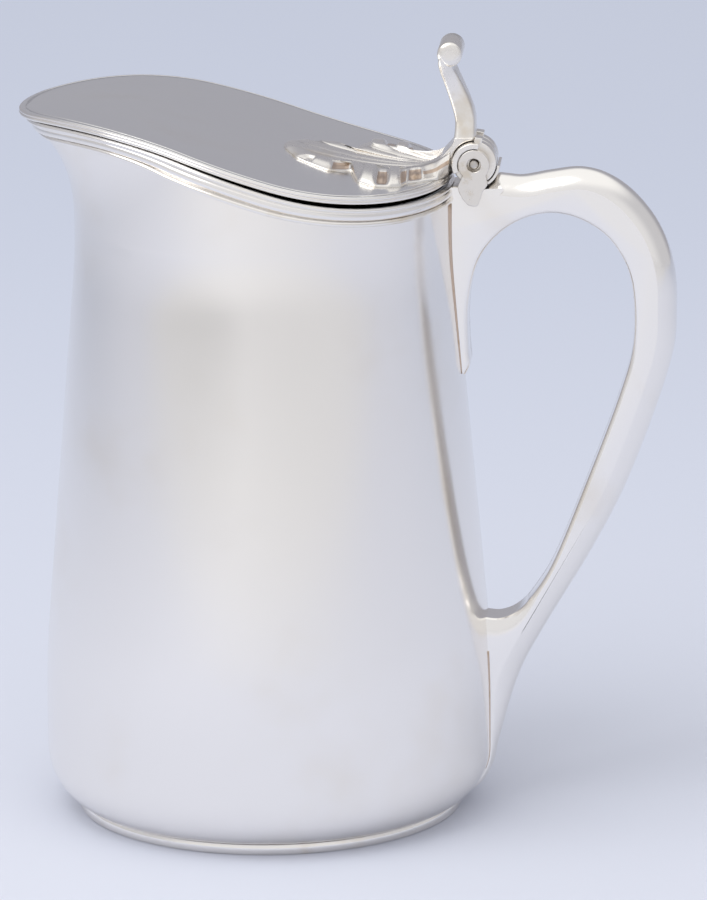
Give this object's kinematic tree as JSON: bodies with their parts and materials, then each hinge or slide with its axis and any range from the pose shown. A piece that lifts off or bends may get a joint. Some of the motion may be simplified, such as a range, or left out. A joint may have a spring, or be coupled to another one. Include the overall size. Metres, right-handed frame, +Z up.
{
  "type": "hot milk pitcher",
  "caption": "Metal jug with a tapered body, short spout, hinged saddle-shaped lid with a thumb lever, and a looped side handle, for serving hot milk.",
  "frame": {"origin": "centre of the foot ring, on the plane that the pitcher stands on", "axes": "+Z up; -X towards the spout; +X towards the handle; the hinge pin lies along Y"},
  "size_m": [0.1433, 0.0988, 0.1727],
  "materials": {
    "polished_plate": "polished silver plate with fine wear",
    "cast_plate": "cast silver plate, tarnished brown in the hollows",
    "lid_sheet": "smooth silver plate with fine smudges",
    "pin_steel": "drawn pin, dull"
  },
  "bodies": {
    "pitcher": {"body_shell": "polished_plate", "base_plate": "polished_plate", "foot_ring": "polished_plate", "mouth_band": "polished_plate", "mouth_bead": "polished_plate", "handle_near_half": "polished_plate", "handle_far_half": "polished_plate", "hinge_bracket": "cast_plate", "hinge_ear_near": "cast_plate", "hinge_ear_far": "cast_plate", "fixed_knuckle": "cast_plate", "hinge_stop": "cast_plate", "hinge_pin": "pin_steel"},
    "lid": {"lid_plate": "lid_sheet", "lid_wire": "polished_plate", "lid_strap": "cast_plate", "thumb_piece": "cast_plate", "lid_knuckle_near": "cast_plate", "lid_knuckle_far": "cast_plate"}
  },
  "joints": [
    {"name": "lid_hinge", "type": "hinge", "parent": "pitcher", "child": "lid", "pos_m": [0.0464, 0, 0.1459], "axis": [0, 1, 0], "range_deg": [0, 75]}
  ]
}
